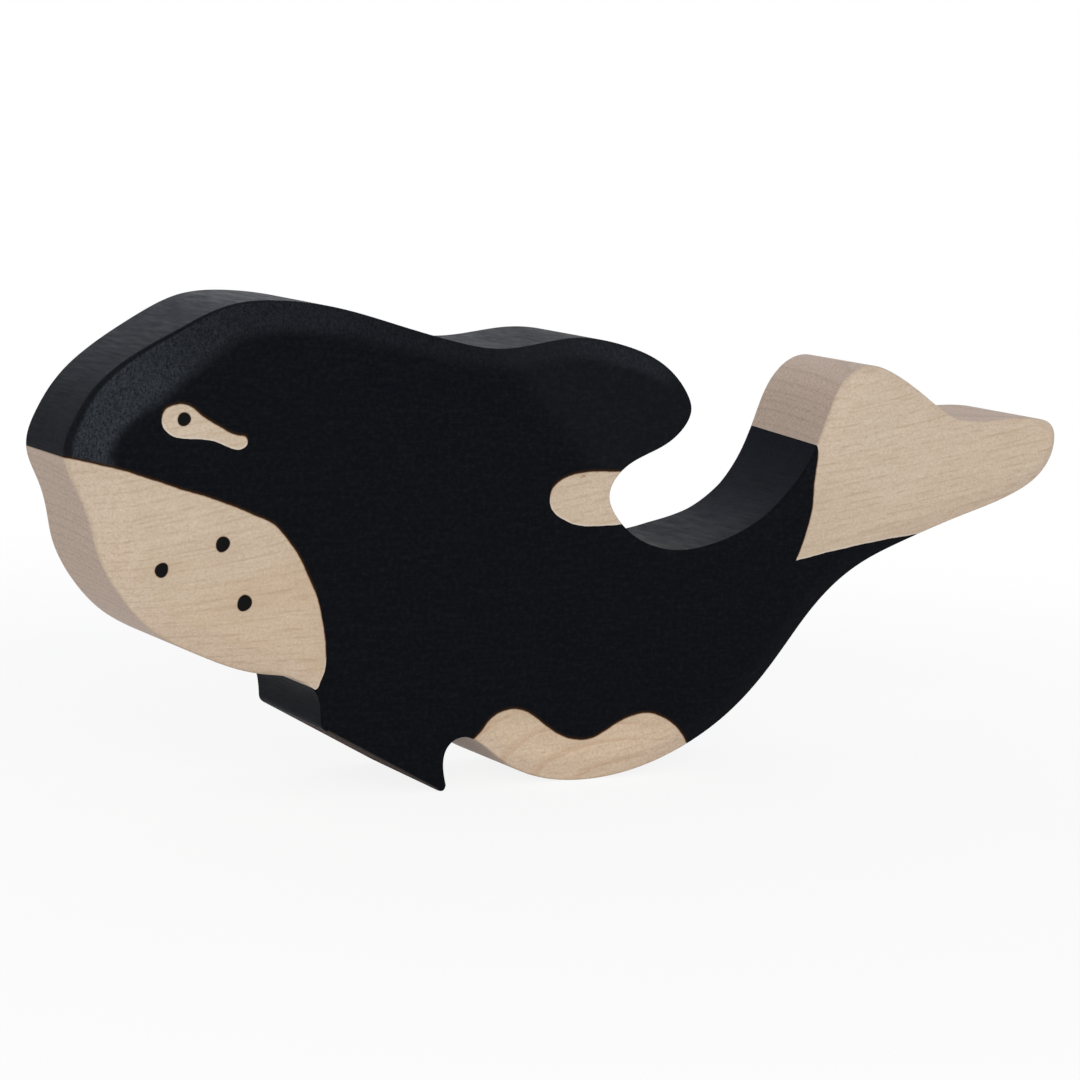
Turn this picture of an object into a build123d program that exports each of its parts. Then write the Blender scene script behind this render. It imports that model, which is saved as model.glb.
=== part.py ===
import os

from build123d import *

# Toy killer whale sawn from one board: head towards -X, tail towards +X, standing on flipper tip and belly.
# Driving dimensions in millimetres.
LENGTH = 190.5  # snout to tail fluke
HEIGHT = 81.4  # floor to top of head
THICKNESS = 25.0  # the board
BEVEL_DEPTH = 4.5  # deepest sanded bevel, at the snout, measured along Y from the flank
BEVEL_WIDTH = 8.0  # widest sanded bevel, at the head, measured in the flank
SOAK_DEPTH = 0.3  # how deep the black stain goes into the wood
EDGE_BAND = 15.0  # strip along the middle of the sawn edge that is stained by itself
PUPIL_RADIUS = 1.15
SPOT_RADIUS = 1.2
OVERRUN = 10.0  # how far a cutting shape reaches past the figure

# Outline knots: x as a share of LENGTH, z as a share of HEIGHT,
# then the bevel's depth and width as shares of BEVEL_DEPTH and BEVEL_WIDTH.
jaw_shares = [
    (-0.2740, 0.226, 0.10, 0.30),
    (-0.3010, 0.251, 0.25, 0.40),
    (-0.3340, 0.266, 0.38, 0.50),
    (-0.3790, 0.302, 0.45, 0.55),
    (-0.4240, 0.357, 0.45, 0.55),
    (-0.4540, 0.432, 0.45, 0.55),
    (-0.4714, 0.506, 0.60, 0.60),
    (-0.4793, 0.574, 0.75, 0.70),
    (-0.4880, 0.625, 0.90, 0.80),
]
head_shares = [
    (-0.5000, 0.697, 1.00, 0.85),
    (-0.4913, 0.767, 1.00, 0.82),
    (-0.4756, 0.825, 1.00, 0.90),
    (-0.4478, 0.883, 0.87, 1.00),
    (-0.4043, 0.944, 0.58, 0.90),
    (-0.3600, 0.991, 0.45, 0.75),
    (-0.3180, 1.000, 0.42, 0.70),
]
back_shares = [
    (-0.2625, 0.986, 0.38, 0.65),
    (-0.2052, 0.952, 0.25, 0.50),
    (-0.1496, 0.919, 0.10, 0.30),
    (-0.1102, 0.906, 0.06, 0.25),
    (-0.0709, 0.915, 0.10, 0.30),
]
dorsal_shares = [
    (-0.0304, 0.927, 0.38, 0.50),
    (0.0184, 0.912, 0.45, 0.50),
    (0.0577, 0.878, 0.45, 0.45),
    (0.0846, 0.824, 0.45, 0.32),
    (0.0934, 0.774, 0.45, 0.28),
    (0.0838, 0.731, 0.45, 0.32),
    (0.0505, 0.686, 0.35, 0.40),
    (0.0186, 0.648, 0.15, 0.30),
]
notch_shares = [
    (0.0075, 0.602, 0.06, 0.25),
    (0.0163, 0.555, 0.06, 0.25),
    (0.0472, 0.500, 0.06, 0.25),
    (0.0866, 0.482, 0.06, 0.25),
    (0.1260, 0.498, 0.10, 0.30),
]
tail_shares = [
    (0.1627, 0.527, 0.40, 0.45),
    (0.1969, 0.584, 0.50, 0.50),
    (0.2247, 0.676, 0.35, 0.45),
    (0.2409, 0.773, 0.35, 0.35),
    (0.2556, 0.833, 0.45, 0.28),
]
fluke_shares = [
    (0.2814, 0.866, 0.45, 0.28),
    (0.3118, 0.849, 0.45, 0.40),
    (0.3486, 0.797, 0.35, 0.45),
    (0.3858, 0.749, 0.28, 0.40),
    (0.4278, 0.746, 0.26, 0.35),
    (0.4751, 0.748, 0.36, 0.25),
    (0.4966, 0.730, 0.40, 0.20),
    (0.5000, 0.695, 0.40, 0.22),
    (0.4868, 0.627, 0.40, 0.30),
    (0.4560, 0.581, 0.40, 0.40),
]
keel_shares = [
    (0.3937, 0.532, 0.40, 0.45),
    (0.3286, 0.480, 0.38, 0.45),
    (0.2790, 0.430, 0.35, 0.45),
    (0.2368, 0.352, 0.35, 0.45),
    (0.1969, 0.237, 0.40, 0.50),
    (0.1512, 0.129, 0.40, 0.50),
    (0.0945, 0.050, 0.40, 0.50),
]
belly_shares = [
    (0.0446, 0.012, 0.40, 0.50),
    (0.0000, 0.000, 0.40, 0.50),
    (-0.0446, 0.010, 0.40, 0.50),
    (-0.0840, 0.048, 0.30, 0.40),
    (-0.1123, 0.095, 0.12, 0.30),
    (-0.1297, 0.110, 0.06, 0.20),
    (-0.1440, 0.092, 0.06, 0.20),
    (-0.1480, 0.061, 0.08, 0.20),
    (-0.1446, 0.013, 0.08, 0.04),
]
flipper_tip_share = (-0.1507, 0.000, 0.08, 0.04)
sole_front_share = (-0.2675, 0.146, 0.08, 0.30)
flipper_front_share = (-0.2680, 0.185, 0.08, 0.30)

# Paint lines, as shares of LENGTH and HEIGHT, each closed outside the figure by its corner shares.
jaw_line_shares = [
    (-0.5100, 0.697), (-0.4330, 0.658), (-0.3690, 0.611), (-0.3344, 0.580),
    (-0.3087, 0.542), (-0.2840, 0.452), (-0.2708, 0.356), (-0.2665, 0.290), (-0.2728, 0.214),
]
jaw_corner_shares = [(-0.2750, 0.100), (-0.5500, 0.100), (-0.5500, 0.697)]
tail_line_shares = [
    (0.2225, 0.722), (0.2288, 0.694), (0.2283, 0.668), (0.2247, 0.614), (0.2205, 0.543), (0.2074, 0.451),
]
tail_hem_shares = [(0.2074, 0.451), (0.2550, 0.472), (0.2994, 0.487), (0.3620, 0.500)]
tail_corner_shares = [(0.3700, 0.430), (0.5500, 0.430), (0.5500, 0.950), (0.1800, 0.950), (0.1900, 0.735)]
belly_line_shares = [
    (-0.1350, 0.085), (-0.1155, 0.114), (-0.0997, 0.156), (-0.0819, 0.165), (-0.0541, 0.138), (-0.0331, 0.106),
    (-0.0050, 0.091), (0.0184, 0.111), (0.0383, 0.134), (0.0583, 0.139), (0.0793, 0.122), (0.1076, 0.062),
]
belly_corner_shares = [(0.1200, 0.020), (0.1200, -0.100), (-0.1300, -0.100), (-0.1400, 0.040)]
saddle_line_shares = [
    (0.0200, 0.650), (-0.0199, 0.652), (-0.0446, 0.636), (-0.0546, 0.602),
    (-0.0488, 0.567), (-0.0278, 0.542), (0.0230, 0.541),
]
saddle_corner_shares = [(0.0400, 0.541), (0.0400, 0.650)]
eye_shares = [
    (-0.4240, 0.772), (-0.4063, 0.802), (-0.3900, 0.781), (-0.3622, 0.748), (-0.3475, 0.737),
    (-0.3460, 0.720), (-0.3580, 0.711), (-0.3774, 0.727), (-0.4026, 0.733), (-0.4190, 0.745),
]
pupil_share = (-0.4037, 0.773)
spot_shares = [(-0.4199, 0.479), (-0.3654, 0.526), (-0.3438, 0.407)]


def place(x_share, z_share):
    return Vector(LENGTH * x_share, 0, HEIGHT * z_share)


stretches = [
    jaw_shares, head_shares, back_shares, dorsal_shares, notch_shares,
    tail_shares, fluke_shares, keel_shares, belly_shares,
]
curve_shares = [knot for stretch in stretches for knot in stretch]
outline_shares = curve_shares + [flipper_tip_share, sole_front_share, flipper_front_share]
outline_places = [place(x, z) for x, z, depth, width in outline_shares]
last_knot = len(curve_shares) - 1


def inward(index):
    # Square to the outline, into the wood: the outline runs clockwise seen from -Y.
    before = outline_places[index - 1]
    after = outline_places[(index + 1) % len(outline_places)]
    along = after - before
    return Vector(along.Z, 0, -along.X).normalized()


def steps(start, stop):
    # How far along a stretch each knot lies, the same for every ring.
    lengths = [0.0]
    for first, second in zip(outline_places[start:stop], outline_places[start + 1:stop + 1]):
        lengths.append(lengths[-1] + (second - first).length)
    return lengths


def ring(side, inset, on_flank):
    # One closed line round the figure: the bevel's edge on the flank, or its edge on the sawn rim.
    points = []
    for index, (x, z, depth, width) in enumerate(outline_shares):
        reach = inset + (BEVEL_WIDTH * width if on_flank else 0)
        drop = inset + (0 if on_flank else BEVEL_DEPTH * depth)
        shift = Vector(0, side * (THICKNESS / 2 - drop), 0)
        points.append(outline_places[index] + inward(index) * reach + shift)
    edges = []
    start = 0
    for stretch in stretches:
        stop = min(start + len(stretch), last_knot)
        leaving = points[start + 1] - points[max(start - 1, 0)]
        arriving = points[min(stop + 1, last_knot)] - points[stop - 1]
        edges.append(Edge.make_spline(points[start:stop + 1], [leaving, arriving], parameters=steps(start, stop)))
        start = stop
    edges.append(Edge.make_line(points[last_knot], points[last_knot + 1]))
    edges.append(Edge.make_line(points[last_knot + 1], points[last_knot + 2]))
    edges.append(Edge.make_spline(points[last_knot + 2:] + points[:1]))
    return Wire(edges)


def whale_form(inset):
    rings = [ring(-1, inset, True), ring(-1, inset, False), ring(1, inset, False), ring(1, inset, True)]
    return Solid.make_loft(rings, True)


def zone(lines, corner_shares):
    # A paint area as a prism through the whole board.
    edges = [Edge.make_spline([place(x, z) for x, z in shares]) for shares in lines]
    if corner_shares:
        ends = [lines[-1][-1]] + corner_shares + [lines[0][0]]
        corners = [place(x, z) for x, z in ends]
        edges += [Edge.make_line(first, second) for first, second in zip(corners, corners[1:])]
    face = Face(Wire(edges))
    half = THICKNESS / 2 + OVERRUN
    return extrude(face, amount=half, dir=(0, 1, 0), both=True)


def slab(low, high):
    # Everything between two planes across the board, wider than the figure.
    middle = Pos(0, (low + high) / 2, HEIGHT / 2)
    return middle * Box(LENGTH + 2 * OVERRUN, high - low, HEIGHT + 2 * OVERRUN)


def dot(share, radius, side):
    # A painted dot let in flush with one flank.
    centre = place(*share) + Vector(0, side * (THICKNESS - SOAK_DEPTH) / 2, 0)
    return Plane(origin=centre, z_dir=(0, side, 0)) * Cylinder(radius, SOAK_DEPTH)


whole_form = whale_form(0)
core_form = whale_form(SOAK_DEPTH)
bare_zones = [
    zone([jaw_line_shares], jaw_corner_shares),
    zone([tail_line_shares, tail_hem_shares], tail_corner_shares),
    zone([belly_line_shares], belly_corner_shares),
    zone([saddle_line_shares], saddle_corner_shares),
    zone([eye_shares + eye_shares[:1]], []),
]
stain = whole_form - core_form - bare_zones
half_band = EDGE_BAND / 2
far_side = THICKNESS / 2 + OVERRUN
edge_stains = (stain & slab(-half_band, half_band)).solids().sort_by(Axis.Z)
flipper_edge, keel_edge, tail_edge, back_edge = edge_stains

pieces = {
    "left_flank_stain": stain & slab(-far_side, -half_band),
    "right_flank_stain": stain & slab(half_band, far_side),
    "back_edge_stain": back_edge,
    "tail_edge_stain": tail_edge,
    "keel_edge_stain": keel_edge,
    "flipper_edge_stain": flipper_edge,
}
dots = []
for name, side in (("left", -1), ("right", 1)):
    pupil = dot(pupil_share, PUPIL_RADIUS, side)
    spots = [dot(share, SPOT_RADIUS, side) for share in spot_shares]
    pieces[name + "_pupil"] = pupil
    pieces[name + "_snout_spots"] = Compound(children=spots)
    dots += [pupil] + spots
bare_wood = [whole_form & bare_zone for bare_zone in bare_zones]
pieces["maple_body"] = core_form + bare_wood - dots

os.makedirs("parts", exist_ok=True)
for name, piece in pieces.items():
    export_step(piece, os.path.join("parts", name + ".step"))
    print(name, len(piece.solids()), "solids", round(piece.volume, 2), "mm3")
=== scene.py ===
import math

import bpy
import numpy as np
from mathutils import Matrix, Vector
from mathutils.geometry import delaunay_2d_cdt


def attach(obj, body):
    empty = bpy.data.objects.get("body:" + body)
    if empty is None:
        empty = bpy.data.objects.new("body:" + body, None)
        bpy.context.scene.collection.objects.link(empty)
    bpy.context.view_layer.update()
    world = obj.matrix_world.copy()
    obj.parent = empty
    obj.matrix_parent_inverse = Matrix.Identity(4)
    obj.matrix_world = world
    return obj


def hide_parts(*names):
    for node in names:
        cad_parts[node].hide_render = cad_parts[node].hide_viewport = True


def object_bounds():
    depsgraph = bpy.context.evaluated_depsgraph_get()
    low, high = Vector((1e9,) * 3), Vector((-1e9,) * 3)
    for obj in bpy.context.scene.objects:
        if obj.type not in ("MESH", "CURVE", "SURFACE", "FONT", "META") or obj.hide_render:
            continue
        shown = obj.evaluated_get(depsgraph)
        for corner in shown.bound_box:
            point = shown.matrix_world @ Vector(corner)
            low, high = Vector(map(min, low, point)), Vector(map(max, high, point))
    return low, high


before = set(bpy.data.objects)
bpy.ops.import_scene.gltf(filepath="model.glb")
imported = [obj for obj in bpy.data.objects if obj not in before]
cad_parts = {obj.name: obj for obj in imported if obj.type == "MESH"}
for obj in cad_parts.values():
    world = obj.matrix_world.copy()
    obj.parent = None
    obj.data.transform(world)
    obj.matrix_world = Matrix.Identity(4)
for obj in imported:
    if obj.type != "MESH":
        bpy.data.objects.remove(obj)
cadLow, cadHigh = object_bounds()

# Toy killer whale sawn from one maple board, bevelled by hand and stained black. Head to -X, tail to +X.
mm = 0.001  # everything below is worked out in millimetres and turned to metres when a mesh is made
boardLength = (cadHigh.x - cadLow.x) / mm
boardThickness = (cadHigh.y - cadLow.y) / mm
boardHeight = (cadHigh.z - cadLow.z) / mm
print(f"board {boardLength:.1f} x {boardThickness:.1f} x {boardHeight:.1f} mm")

# Outline knots as shares: along the length, up the height, depth of the bevel, width of the bevel.
silhouette = {
    "jaw": [
        (-0.2790, 0.232, 0.10, 0.30), (-0.2880, 0.243, 0.16, 0.34), (-0.2975, 0.252, 0.22, 0.40),
        (-0.3146, 0.258, 0.30, 0.45), (-0.3340, 0.265, 0.38, 0.50),
        (-0.3790, 0.302, 0.45, 0.55), (-0.4240, 0.357, 0.45, 0.55), (-0.4540, 0.432, 0.45, 0.55),
        (-0.4714, 0.506, 0.60, 0.60), (-0.4793, 0.574, 0.75, 0.70), (-0.4880, 0.625, 0.90, 0.80),
    ],
    "head": [
        (-0.5000, 0.697, 1.00, 0.78), (-0.4913, 0.767, 1.00, 0.78), (-0.4756, 0.825, 1.00, 0.88),
        (-0.4478, 0.883, 0.87, 1.00), (-0.4043, 0.944, 0.58, 0.90), (-0.3600, 0.991, 0.45, 0.75),
        (-0.3180, 1.000, 0.42, 0.70),
    ],
    "back": [
        (-0.2625, 0.986, 0.38, 0.62), (-0.2052, 0.952, 0.25, 0.58), (-0.1496, 0.919, 0.10, 0.55),
        (-0.1102, 0.906, 0.08, 0.55), (-0.0709, 0.915, 0.12, 0.55),
    ],
    "dorsalFin": [
        (-0.0304, 0.927, 0.38, 0.50), (0.0184, 0.912, 0.45, 0.50), (0.0577, 0.878, 0.45, 0.45),
    ],
    "finTip": [
        (0.0846, 0.824, 0.45, 0.32), (0.0934, 0.774, 0.45, 0.28), (0.0838, 0.731, 0.45, 0.32),
        (0.0505, 0.686, 0.35, 0.40), (0.0186, 0.648, 0.15, 0.30),
    ],
    "notch": [
        (0.0075, 0.602, 0.06, 0.25), (0.0163, 0.555, 0.06, 0.25), (0.0472, 0.500, 0.06, 0.25),
        (0.0866, 0.482, 0.06, 0.25), (0.1260, 0.498, 0.10, 0.30),
    ],
    "tailStock": [
        (0.1627, 0.527, 0.40, 0.45), (0.1969, 0.584, 0.50, 0.50), (0.2247, 0.676, 0.35, 0.45),
        (0.2409, 0.773, 0.35, 0.35), (0.2556, 0.833, 0.45, 0.28),
    ],
    "fluke": [
        (0.2814, 0.866, 0.45, 0.28), (0.3118, 0.849, 0.45, 0.40), (0.3486, 0.797, 0.35, 0.45),
        (0.3858, 0.749, 0.28, 0.40), (0.4278, 0.746, 0.26, 0.35), (0.4751, 0.748, 0.36, 0.25),
        (0.4966, 0.730, 0.40, 0.20), (0.5000, 0.695, 0.40, 0.22), (0.4868, 0.627, 0.40, 0.30),
        (0.4560, 0.581, 0.40, 0.40),
    ],
    "keel": [
        (0.3937, 0.532, 0.40, 0.45), (0.3286, 0.480, 0.38, 0.45), (0.2790, 0.430, 0.35, 0.45),
        (0.2368, 0.352, 0.35, 0.45), (0.1969, 0.237, 0.40, 0.50), (0.1512, 0.129, 0.40, 0.50),
        (0.0945, 0.050, 0.40, 0.50),
    ],
    "belly": [
        (0.0446, 0.012, 0.40, 0.50), (0.0000, 0.000, 0.40, 0.50), (-0.0446, 0.010, 0.40, 0.50),
        (-0.0840, 0.048, 0.30, 0.40), (-0.1123, 0.095, 0.12, 0.30), (-0.1297, 0.110, 0.06, 0.20),
        (-0.1440, 0.092, 0.06, 0.20), (-0.1480, 0.061, 0.08, 0.20), (-0.1446, 0.013, 0.08, 0.10),
    ],
    "flipperTip": [(-0.1446, 0.013, 0.08, 0.10), (-0.1454, -0.008, 0.08, 0.10), (-0.1552, 0.006, 0.08, 0.10)],
    "flipperToe": [(-0.2630, 0.140, 0.08, 0.30), (-0.2675, 0.146, 0.08, 0.30), (-0.2677, 0.158, 0.08, 0.30)],
    "flipperFront": [
        (-0.2677, 0.158, 0.08, 0.30), (-0.2690, 0.188, 0.08, 0.30), (-0.2709, 0.207, 0.08, 0.30),
        (-0.2746, 0.222, 0.10, 0.30), (-0.2790, 0.232, 0.10, 0.30),
    ],
    "order": ["jaw", "head", "back", "dorsalFin", "finTip", "notch", "tailStock", "fluke", "keel", "belly"],
    "rubbed": ["jaw", "head", "back", "dorsalFin"],  # where the bevel gets a painted sheen, a lighter band with sanding marks in it
    "step": 0.5,  # mm between outline points
    "cornerSteps": 7,
}

# How the board's edge is worked
bevel = {
    "depth": 4.5,  # mm, at the snout
    "width": 8.0,  # mm, at the head
    "reach": 1.2,  # the sanding fades out a little past the width
    "fall": 1.4,  # 1 is a flat bevel, more is a softer one
    "leastDepth": 0.15,
    "edgeRadius": 0.25,  # mm, on a square edge
    "edgeRadiusOnBevel": 0.35,  # mm more where the bevel is deepest
    "edgeShare": 0.8,  # share of the rounding that counts in the bevel's depth
    "rimRows": 8,
}
# The dorsal fin is sanded thinner as one slanting facet, from a line on. Places are shares of the board.
finFacet = {
    "lineStart": (-0.0970, 0.843),
    "lineEnd": (-0.0290, 0.680),
    "slope": 0.075,
    "softness": 3.0,  # mm
    "lowest": 0.55,  # the facet fades in from this height up, so that the tail stock has none
    "heightFade": 0.12,
    "furthest": 0.14,  # and it has faded out at this place along the length
    "lengthFade": 0.05,
}

# Paint lines as shares of length and height, each closed outside the figure by its corners
paintLines = {
    "jaw": {
        "line": [
            (-0.5150, 0.700), (-0.4885, 0.690), (-0.4588, 0.675), (-0.4057, 0.636), (-0.3693, 0.610),
            (-0.3341, 0.578), (-0.3210, 0.564), (-0.3086, 0.538), (-0.2988, 0.510), (-0.2838, 0.449),
            (-0.2751, 0.404), (-0.2690, 0.347), (-0.2660, 0.296), (-0.2670, 0.263), (-0.2706, 0.241),
            (-0.2729, 0.228), (-0.2741, 0.226), (-0.2770, 0.229), (-0.2800, 0.231), (-0.2850, 0.226),
        ],
        "corners": [(-0.2800, 0.100), (-0.5500, 0.100), (-0.5500, 0.700)],
    },
    "tail": {
        "line": [
            (0.2225, 0.722), (0.2288, 0.694), (0.2283, 0.668), (0.2247, 0.614), (0.2205, 0.543),
            (0.2074, 0.451),
        ],
        "hem": [(0.2074, 0.451), (0.2550, 0.472), (0.2994, 0.487), (0.3620, 0.500)],
        "corners": [(0.3700, 0.430), (0.5500, 0.430), (0.5500, 0.950), (0.1800, 0.950), (0.1900, 0.735)],
    },
    "belly": {
        "line": [
            (-0.1290, 0.090), (-0.1195, 0.105), (-0.1138, 0.118), (-0.1044, 0.144), (-0.0947, 0.158),
            (-0.0798, 0.164), (-0.0645, 0.152), (-0.0435, 0.118), (-0.0329, 0.103), (-0.0143, 0.091),
            (-0.0019, 0.091), (0.0082, 0.100), (0.0232, 0.119), (0.0385, 0.133), (0.0572, 0.139),
            (0.0700, 0.130), (0.0812, 0.117), (0.0940, 0.091), (0.1043, 0.064), (0.1090, 0.050),
        ],
        "corners": [(0.1200, 0.020), (0.1200, -0.100), (-0.1300, -0.100), (-0.1400, 0.040)],
    },
    "saddle": {
        "line": [
            (0.0240, 0.650), (-0.0046, 0.652), (-0.0249, 0.650), (-0.0448, 0.634), (-0.0525, 0.617),
            (-0.0542, 0.596), (-0.0505, 0.573), (-0.0410, 0.556), (-0.0307, 0.545), (-0.0122, 0.539),
            (0.0082, 0.539), (0.0260, 0.542),
        ],
        "corners": [(0.0400, 0.542), (0.0400, 0.650)],
    },
    "eye": {
        "ring": [
            (-0.4238, 0.770), (-0.4203, 0.791), (-0.4116, 0.800), (-0.4062, 0.801), (-0.3985, 0.796),
            (-0.3898, 0.781), (-0.3715, 0.756), (-0.3531, 0.738), (-0.3478, 0.736), (-0.3457, 0.723),
            (-0.3499, 0.712), (-0.3563, 0.711), (-0.3710, 0.723), (-0.3801, 0.729), (-0.3981, 0.733),
            (-0.4143, 0.739), (-0.4207, 0.751),
        ],
    },
}
brush = {
    "step": 0.3,  # mm between points of a line
    "wobble": 0.03,  # mm
    "waves": (0.9, 2.3, 5.1),  # per mm along a line
    "firstSeed": 3,
    "seedStep": 10,
    "dotSides": 40,
    "dotRipples": 3,  # round a dot
    "dotTurn": 40,  # turns the ripples of each dot by its place
}
# Painted dots: place as shares, radius in mm, lean of their long way in degrees from level
pupilDot = {"dots": [(-0.4038, 0.771, 1.12)], "stretch": 1.02, "lean": 20, "ripple": 0.02}
snoutSpots = {
    "dots": [(-0.4199, 0.478, 1.18), (-0.3654, 0.525, 1.25), (-0.3438, 0.407, 1.31)],
    "stretch": 1.05,  # long way, as a share of the radius
    "lean": 58,
    "ripple": 0.03,  # unevenness of the brush
}
coat = {"depth": 0.12, "clearance": 0.02}  # mm, the stain stands in the wood as a thin shell

# How finely the flank is meshed, in mm where it isn't a share
flankMesh = {
    "edgeRows": (0.06, 0.2, 0.45, 0.75, 1.0),  # shares of the edge's rounding
    "bevelRows": (0.35, 0.55, 0.75, 1.0),  # shares of the bevel's reach
    "bevelRowStart": 1.6,  # least, as a share of the rounding
    "bevelRowStep": 2,  # outline points from one to the next
    "rowSlack": 0.93,  # share of its inset that a row's point keeps from the rest of the outline
    "besidePaint": (-0.7, -0.25, 0.25, 0.7),
    "besideToEdge": 0.3,
    "fieldSpacing": 2.4,
    "fieldRows": 0.866,  # share of the spacing, for even triangles
    "fieldToEdge": 2.0,
    "rowsToPaint": 0.15,
    "besideToPaint": 0.2,
    "besideToRows": 0.25,
    "fieldToPaint": 0.9,
    "fieldToRows": 0.6,
    "mergeWithin": 1e-5,
    "blockSize": 500,  # points whose distances are worked out at once
}


def toMillimetres(shares):
    scale = [boardLength, boardHeight, bevel["depth"], bevel["width"]]
    return np.array(shares) * scale[:len(shares[0])]


def knotsOf(name):
    # outline knots in millimetres, with 1 in a last column where the bevel gets a painted sheen
    knots = toMillimetres(silhouette[name])
    return np.column_stack([knots, np.full(len(knots), float(name in silhouette["rubbed"]))])


def splineThrough(knots, step):
    # natural cubic spline on chord length; columns after the first two are blended straight
    gaps = np.hypot(*np.diff(knots[:, :2], axis=0).T)
    at = np.concatenate([[0.0], np.cumsum(gaps)])
    count = len(at)
    system = np.eye(count)
    wanted = np.zeros((count, 2))
    for k in range(1, count - 1):
        system[k, k - 1:k + 2] = gaps[k - 1], 2 * (gaps[k - 1] + gaps[k]), gaps[k]
        after = (knots[k + 1, :2] - knots[k, :2]) / gaps[k]
        before = (knots[k, :2] - knots[k - 1, :2]) / gaps[k - 1]
        wanted[k] = 6 * (after - before)
    bend = np.linalg.solve(system, wanted)
    sampled = np.linspace(0, at[-1], max(3, round(at[-1] / step) + 1))
    k = np.clip(np.searchsorted(at, sampled, side="right") - 1, 0, count - 2)
    span = gaps[k][:, None]
    a = (at[k + 1] - sampled)[:, None] / span
    b = 1 - a
    curl = ((a ** 3 - a) * bend[k] + (b ** 3 - b) * bend[k + 1]) * span ** 2 / 6
    places = a * knots[k, :2] + b * knots[k + 1, :2] + curl
    extras = [np.interp(sampled, at, column) for column in knots[:, 2:].T]
    return np.column_stack([places] + extras)


def closedSpline(knots, step):
    # three turns of the ring, of which the middle one joins smoothly
    turns = np.concatenate([knots, knots, knots, knots[:1]])
    dense = splineThrough(turns, step)
    third = len(dense) // 3
    return dense[third:2 * third + 1]


def roundedCorner(points):
    t = np.linspace(0, 1, silhouette["cornerSteps"])[:, None]
    return (1 - t) ** 2 * points[0] + 2 * t * (1 - t) * points[1] + t ** 2 * points[2]


def sawOutline():
    # closed outline, clockwise seen from -Y; each point also has bevel depth and width, painted sheen and
    # sole
    knots = np.concatenate([knotsOf(name) for name in silhouette["order"]])
    tip = roundedCorner(knotsOf("flipperTip"))
    toe = roundedCorner(knotsOf("flipperToe"))
    front = splineThrough(knotsOf("flipperFront"), silhouette["step"])
    sole = np.linspace(tip[-1], toe[0], round(np.hypot(*(tip[-1] - toe[0])[:2]) / silhouette["step"]))
    curve = splineThrough(knots, silhouette["step"])
    stretches = [curve, tip, sole, toe, front]
    closed = np.concatenate([stretch[:-1] for stretch in stretches])
    onSole = np.concatenate([np.full(len(stretch) - 1, float(stretch is sole)) for stretch in stretches])
    low, high = closed[:, :2].min(0), closed[:, :2].max(0)
    boardLow = np.array([cadLow.x, cadLow.z]) / mm
    boardHigh = np.array([cadHigh.x, cadHigh.z]) / mm
    # the figure fills the board
    closed[:, :2] = (closed[:, :2] - low) * (boardHigh - boardLow) / (high - low) + boardLow
    return np.column_stack([closed, onSole])


def insidePolygon(points, polygon):
    inside = np.zeros(len(points), bool)
    following = np.roll(polygon, -1, axis=0)
    for (x1, z1), (x2, z2) in zip(polygon, following):
        if z1 == z2:
            continue
        crosses = (points[:, 1] > z1) != (points[:, 1] > z2)
        meets = x1 + (points[:, 1] - z1) * (x2 - x1) / (z2 - z1)
        inside ^= crosses & (points[:, 0] < meets)
    return inside


def squareTo(line, closed):
    # unit vectors square to a line, to the right of its direction
    if closed:
        along = np.roll(line, -1, axis=0) - np.roll(line, 1, axis=0)
    else:
        along = np.gradient(line, axis=0)
    along /= np.hypot(*along.T)[:, None]
    return np.column_stack([along[:, 1], -along[:, 0]])


def brushed(line, seed):
    # small waves of a hand-held brush
    at = np.concatenate([[0.0], np.cumsum(np.hypot(*np.diff(line, axis=0).T))])
    phase = np.random.default_rng(seed).uniform(0, 2 * math.pi, len(brush["waves"]))
    sway = sum(np.sin(wave * at + p) / (1 + n) for n, (wave, p) in enumerate(zip(brush["waves"], phase)))
    fade = np.minimum(1, np.minimum(at, at[-1] - at))[:, None]  # ends stay where they meet other lines
    return line + squareTo(line, False) * (brush["wobble"] * sway)[:, None] * fade


def paintZone(name, seed):
    # drawn lines, and the closed polygon that they bound
    zone = paintLines[name]
    if "ring" in zone:
        lines = [brushed(closedSpline(toMillimetres(zone["ring"]), brush["step"]), seed)]
        return lines, lines[0][:-1]
    parts = [toMillimetres(zone[part]) for part in ("line", "hem") if part in zone]
    lines = [brushed(splineThrough(part, brush["step"]), seed + n) for n, part in enumerate(parts)]
    return lines, np.concatenate(lines + [toMillimetres(zone["corners"])])


def dotRing(dot, look):
    x, z, radius = dot
    turn = np.linspace(0, 2 * math.pi, brush["dotSides"], endpoint=False)
    lean = math.radians(look["lean"])
    uneven = radius * (1 + look["ripple"] * np.sin(brush["dotRipples"] * turn + brush["dotTurn"] * x))
    longWay = uneven * look["stretch"] * np.cos(turn)
    shortWay = uneven / look["stretch"] * np.sin(turn)
    ring = np.column_stack([
        longWay * math.cos(lean) - shortWay * math.sin(lean),
        longWay * math.sin(lean) + shortWay * math.cos(lean),
    ])
    return toMillimetres([(x, z)])[0] + ring


def inBlocks(places):
    return np.array_split(places, max(1, len(places) // flankMesh["blockSize"]))


def distanceTo(places, others):
    # from each place to the nearest of the others
    apart = [np.hypot(*np.moveaxis(block[:, None] - others[None], 2, 0)).min(1) for block in inBlocks(places)]
    return np.concatenate(apart)


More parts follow.
